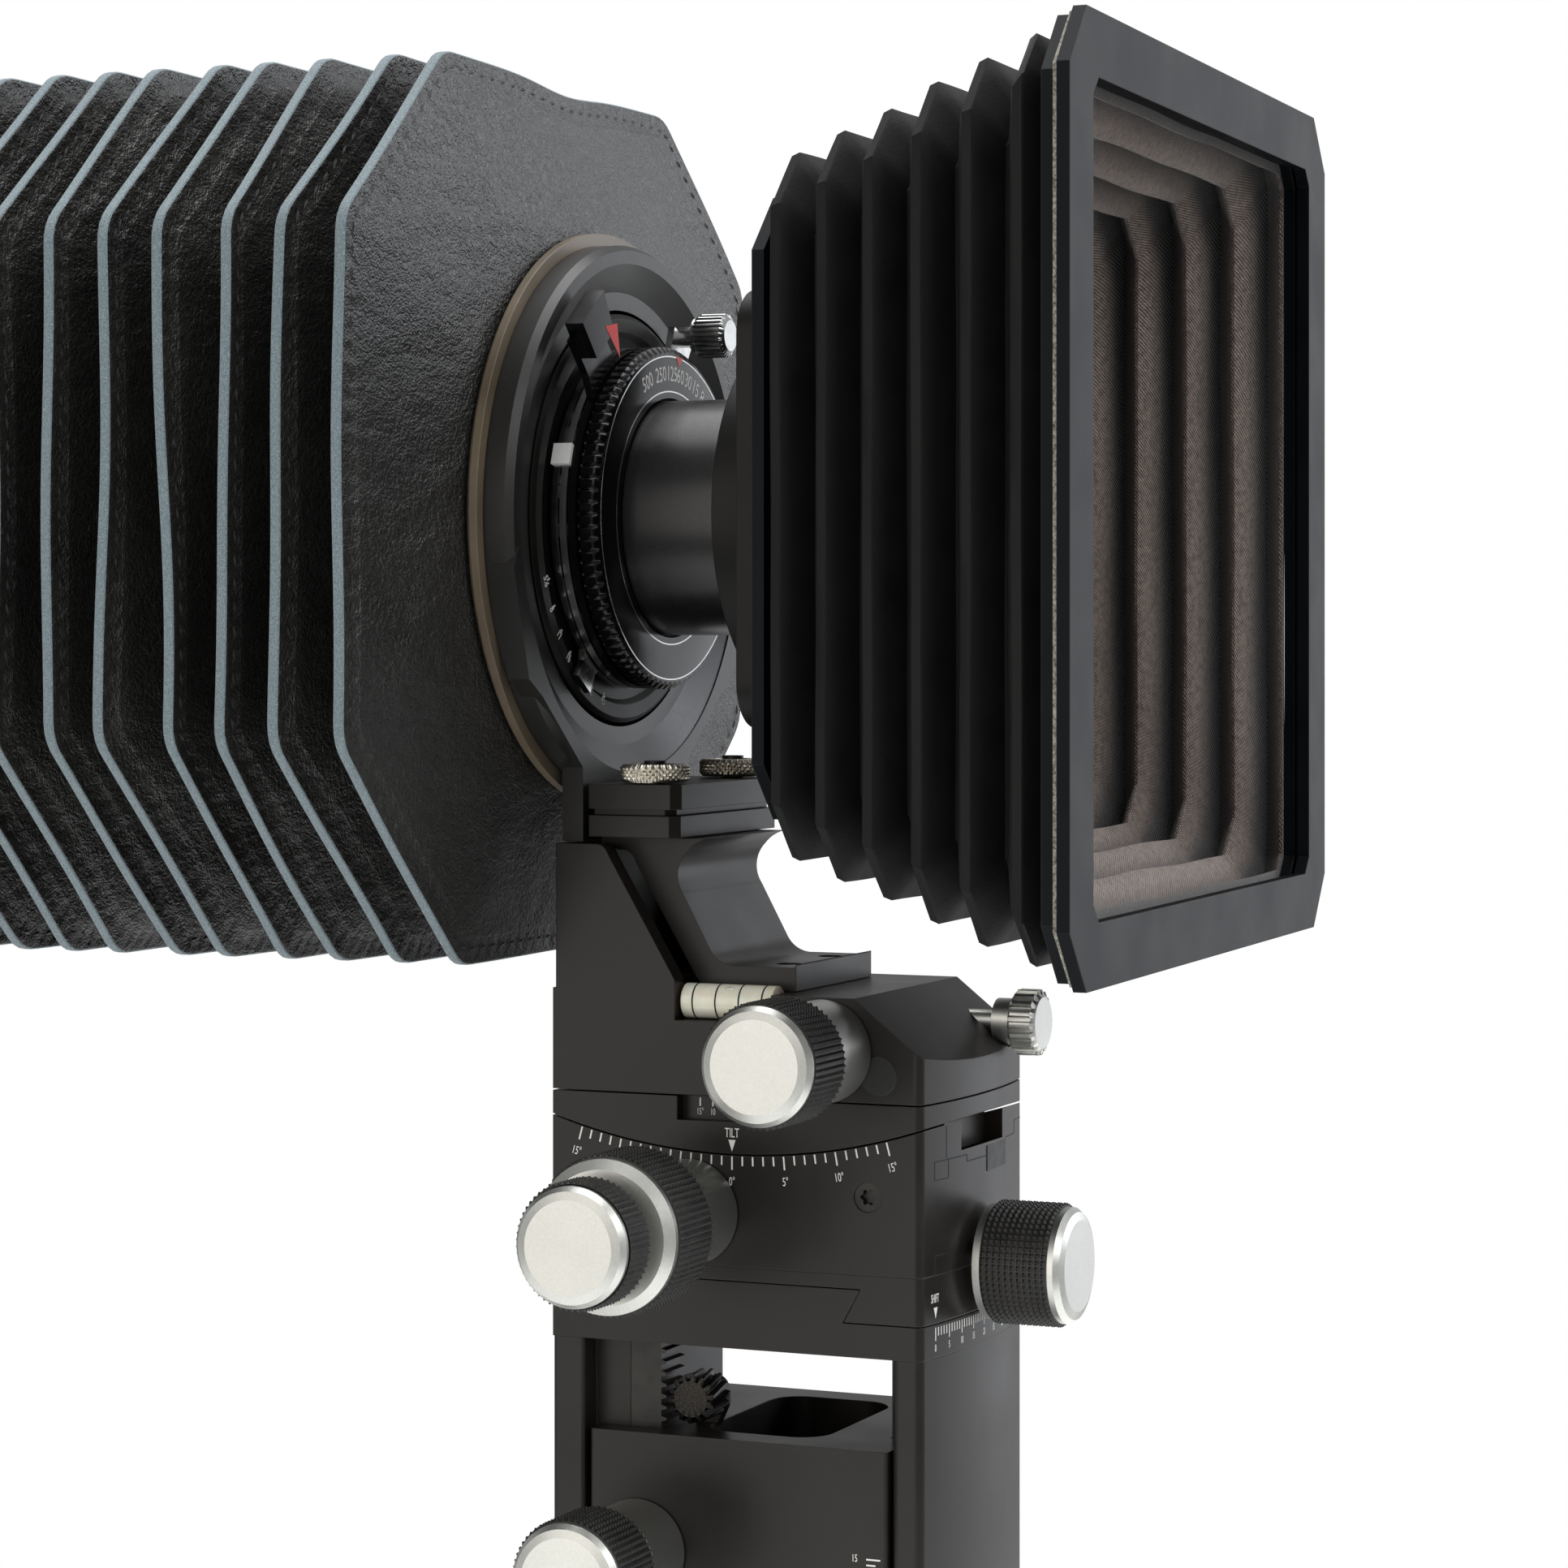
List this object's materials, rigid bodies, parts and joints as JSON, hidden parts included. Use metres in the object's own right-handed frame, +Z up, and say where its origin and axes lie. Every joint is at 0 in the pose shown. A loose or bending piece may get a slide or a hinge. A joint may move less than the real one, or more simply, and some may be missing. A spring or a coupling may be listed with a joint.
{
  "type": "view camera",
  "caption": "Monorail view camera: bag of leather leaves behind a round lens board with leaf shutter, pleated lens hood, geared front standard on a rail.",
  "frame": {"origin": "centre of the tripod socket's mouth in the underside of the tripod block", "axes": "+Z up; the lens looks along -Y, the focusing screen is at +Y; X across the camera"},
  "size_m": [0.1718, 0.3601, 0.367],
  "materials": {
    "black_anodised": "bead-blasted and black anodised",
    "hood_enamel": "blue-black anodised sheet",
    "satin_silver": "satin turned, clear anodised",
    "nickel": "nickel plated",
    "black_steel": "blackened",
    "bright_steel": "machined",
    "bronzed": "brown-black anodised ring",
    "grip_rubber": "moulded with small pyramids",
    "cap_plastic": "matt",
    "acrylic": "clear cream acrylic",
    "lens_glass": "coated",
    "frosted_glass": "ground on one side",
    "bellows_leather": "pebbled black hide",
    "hood_cloth": "rubberised twill"
  },
  "bodies": {
    "tripod_clamp": {"tripod_block": "black_anodised"},
    "clamp_knob": {"tripod_clamp_knob": "satin_silver"},
    "rail": {"monorail": "black_anodised", "rail_rack": "bright_steel", "rail_end_caps": "cap_plastic"},
    "front_carrier": {"front_carriage": "black_anodised"},
    "front_focus_drive": {"front_focus_knob": "satin_silver"},
    "front_focus_brake": {"front_focus_lock": "satin_silver"},
    "front_rise_drive": {"front_rise_knob": "satin_silver", "front_rise_grip": "grip_rubber"},
    "front_rise_gear": {"front_rise_pinion": "black_steel"},
    "front_lift": {"front_rear_post": "black_anodised", "front_face_post": "black_anodised", "front_rise_rack": "black_steel", "front_shift_base": "black_anodised"},
    "front_shift_body": {"front_shift_slide": "black_anodised", "front_tilt_base": "black_anodised", "front_tilt_base_screws": "black_steel"},
    "front_shift_drive": {"front_shift_knob": "satin_silver", "front_shift_grip": "grip_rubber"},
    "front_tilt_drive": {"front_tilt_knob": "satin_silver", "front_tilt_grip": "grip_rubber"},
    "front_tilt_brake": {"front_tilt_lock": "satin_silver"},
    "front_tilt_body": {"front_tilt_cradle": "black_anodised"},
    "lens_head": {"front_swing_housing": "black_anodised", "spirit_level": "acrylic", "gooseneck": "black_anodised", "gooseneck_screws": "black_steel", "clamp_plate_lower": "black_anodised", "clamp_plate_upper": "black_anodised", "lens_ring_holder": "black_anodised", "bellows_ring": "bronzed", "lens_board": "black_anodised", "shutter_body": "black_anodised", "front_cell": "black_anodised", "front_lens": "lens_glass", "rear_cell": "black_anodised", "rear_lens": "lens_glass", "hood_adapter": "bronzed", "hood_rear_frame": "bronzed", "hood_bellows": "hood_cloth"},
    "front_swing_drive": {"front_swing_knob": "satin_silver", "front_swing_grip": "grip_rubber"},
    "front_swing_brake": {"front_swing_lock": "satin_silver"},
    "nut_near": {"clamp_nut_near": "nickel"},
    "nut_far": {"clamp_nut_far": "nickel"},
    "speed_ring": {"shutter_speed_ring": "black_anodised"},
    "cocking": {"cocking_lever": "cap_plastic"},
    "release": {"release_lever": "bright_steel"},
    "aperture": {"aperture_lever": "black_steel"},
    "hood_front": {"hood_flange": "hood_enamel", "hood_mask_frame": "hood_enamel"},
    "rear_standard": {"rear_carriage": "black_anodised", "rear_riser": "black_anodised", "rear_frame": "black_anodised", "ground_glass_frame": "black_anodised", "ground_glass": "frosted_glass", "leather_bellows": "bellows_leather"},
    "rear_focus_drive": {"rear_focus_knob": "satin_silver"}
  },
  "joints": [
    {"name": "rail_slide", "type": "slide", "parent": "tripod_clamp", "child": "rail", "axis": [0, 1, 0], "range_m": [-0.04, 0.04]},
    {"name": "tripod_clamp_turn", "type": "hinge", "parent": "tripod_clamp", "child": "clamp_knob", "pos_m": [0, 0, 0.0294], "axis": [1, 0, 0], "range_deg": [0, 90]},
    {"name": "front_focus", "type": "slide", "parent": "rail", "child": "front_carrier", "axis": [0, 1, 0], "range_m": [-0.02, 0.025], "deforming": ["leather_bellows"]},
    {"name": "rear_focus", "type": "slide", "parent": "rail", "child": "rear_standard", "axis": [0, 1, 0], "range_m": [-0.018, 0.025], "deforming": ["leather_bellows"]},
    {"name": "front_rise", "type": "slide", "parent": "front_carrier", "child": "front_lift", "axis": [0, 0, 1], "range_m": [-0.01, 0.025], "deforming": ["leather_bellows"]},
    {"name": "front_shift", "type": "slide", "parent": "front_lift", "child": "front_shift_body", "axis": [1, 0, 0], "range_m": [-0.02, 0.02], "deforming": ["leather_bellows"]},
    {"name": "front_tilt", "type": "hinge", "parent": "front_shift_body", "child": "front_tilt_body", "pos_m": [0, -0.085, 0.285], "axis": [1, 0, 0], "range_deg": [-15, 15], "deforming": ["leather_bellows"]},
    {"name": "front_swing", "type": "hinge", "parent": "front_tilt_body", "child": "lens_head", "pos_m": [0, -0.085, 0.285], "axis": [0, 0, 1], "range_deg": [-15, 15], "deforming": ["leather_bellows"]},
    {"name": "hood_focus", "type": "slide", "parent": "lens_head", "child": "hood_front", "axis": [0, 1, 0], "range_m": [-0.012, 0.03], "deforming": ["hood_bellows"]},
    {"name": "front_focus_turn", "type": "hinge", "parent": "front_carrier", "child": "front_focus_drive", "pos_m": [0, -0.085, 0.0607], "axis": [1, 0, 0], "range_deg": [-290, 235]},
    {"name": "rear_focus_turn", "type": "hinge", "parent": "rear_standard", "child": "rear_focus_drive", "pos_m": [0, 0.132, 0.0607], "axis": [1, 0, 0], "range_deg": [-290, 210]},
    {"name": "front_rise_turn", "type": "hinge", "parent": "front_carrier", "child": "front_rise_drive", "pos_m": [0, -0.067, 0.102], "axis": [1, 0, 0], "range_deg": [-390, 645]},
    {"name": "front_rise_gear_turn", "type": "hinge", "parent": "front_carrier", "child": "front_rise_gear", "pos_m": [0, -0.0747, 0.1282], "axis": [1, 0, 0], "range_deg": [-195, 325]},
    {"name": "front_shift_turn", "type": "hinge", "parent": "front_shift_body", "child": "front_shift_drive", "pos_m": [0, -0.085, 0.153], "axis": [0, 1, 0], "range_deg": [-195, 195]},
    {"name": "front_tilt_turn", "type": "hinge", "parent": "front_shift_body", "child": "front_tilt_drive", "pos_m": [0, -0.0769, 0.1623], "axis": [1, 0, 0], "range_deg": [-352, 352]},
    {"name": "front_swing_turn", "type": "hinge", "parent": "lens_head", "child": "front_swing_drive", "pos_m": [0, -0.1024, 0.1915], "axis": [1, 0, 0], "range_deg": [-361, 361]},
    {"name": "front_focus_lock_turn", "type": "hinge", "parent": "front_carrier", "child": "front_focus_brake", "pos_m": [0, -0.103, 0.0607], "axis": [1, 0, 0], "range_deg": [0, 90]},
    {"name": "front_tilt_lock_turn", "type": "hinge", "parent": "front_shift_body", "child": "front_tilt_brake", "pos_m": [0, -0.0769, 0.1623], "axis": [1, 0, 0], "range_deg": [0, 90]},
    {"name": "front_swing_lock_turn", "type": "hinge", "parent": "lens_head", "child": "front_swing_brake", "pos_m": [0.0153, -0.085, 0.1939], "axis": [0, 1, 0], "range_deg": [0, 90]},
    {"name": "clamp_nut_near_turn", "type": "hinge", "parent": "lens_head", "child": "nut_near", "pos_m": [-0.017, -0.0664, 0.285], "axis": [0, 0, 1], "range_deg": [0, 360]},
    {"name": "clamp_nut_far_turn", "type": "hinge", "parent": "lens_head", "child": "nut_far", "pos_m": [0.017, -0.0664, 0.285], "axis": [0, 0, 1], "range_deg": [0, 360]},
    {"name": "speed_ring_turn", "type": "hinge", "parent": "lens_head", "child": "speed_ring", "pos_m": [0, -0.085, 0.285], "axis": [0, 1, 0], "range_deg": [-60, 60]},
    {"name": "aperture_turn", "type": "hinge", "parent": "lens_head", "child": "aperture", "pos_m": [0, -0.085, 0.285], "axis": [0, 1, 0], "range_deg": [-10, 50]},
    {"name": "cocking_turn", "type": "hinge", "parent": "lens_head", "child": "cocking", "pos_m": [0, -0.085, 0.285], "axis": [0, 1, 0], "range_deg": [-30, 0], "stiffness_Nm_per_rad": 0.05, "springref_deg": 14.32},
    {"name": "release_turn", "type": "hinge", "parent": "lens_head", "child": "release", "pos_m": [0, -0.085, 0.285], "axis": [0, 1, 0], "range_deg": [0, 12], "stiffness_Nm_per_rad": 0.08, "springref_deg": -8.59}
  ],
  "couplings": [
    {"joint": "front_focus_turn", "follows": "front_focus", "rad_per_m": -200},
    {"joint": "rear_focus_turn", "follows": "rear_focus", "rad_per_m": -200},
    {"joint": "front_rise_turn", "follows": "front_rise", "rad_per_m": 448.8},
    {"joint": "front_rise_gear_turn", "follows": "front_rise", "rad_per_m": 224.4},
    {"joint": "front_shift_turn", "follows": "front_shift", "rad_per_m": 166.7},
    {"joint": "front_tilt_turn", "follows": "front_tilt", "ratio": -23.4},
    {"joint": "front_swing_turn", "follows": "front_swing", "ratio": 24}
  ]
}
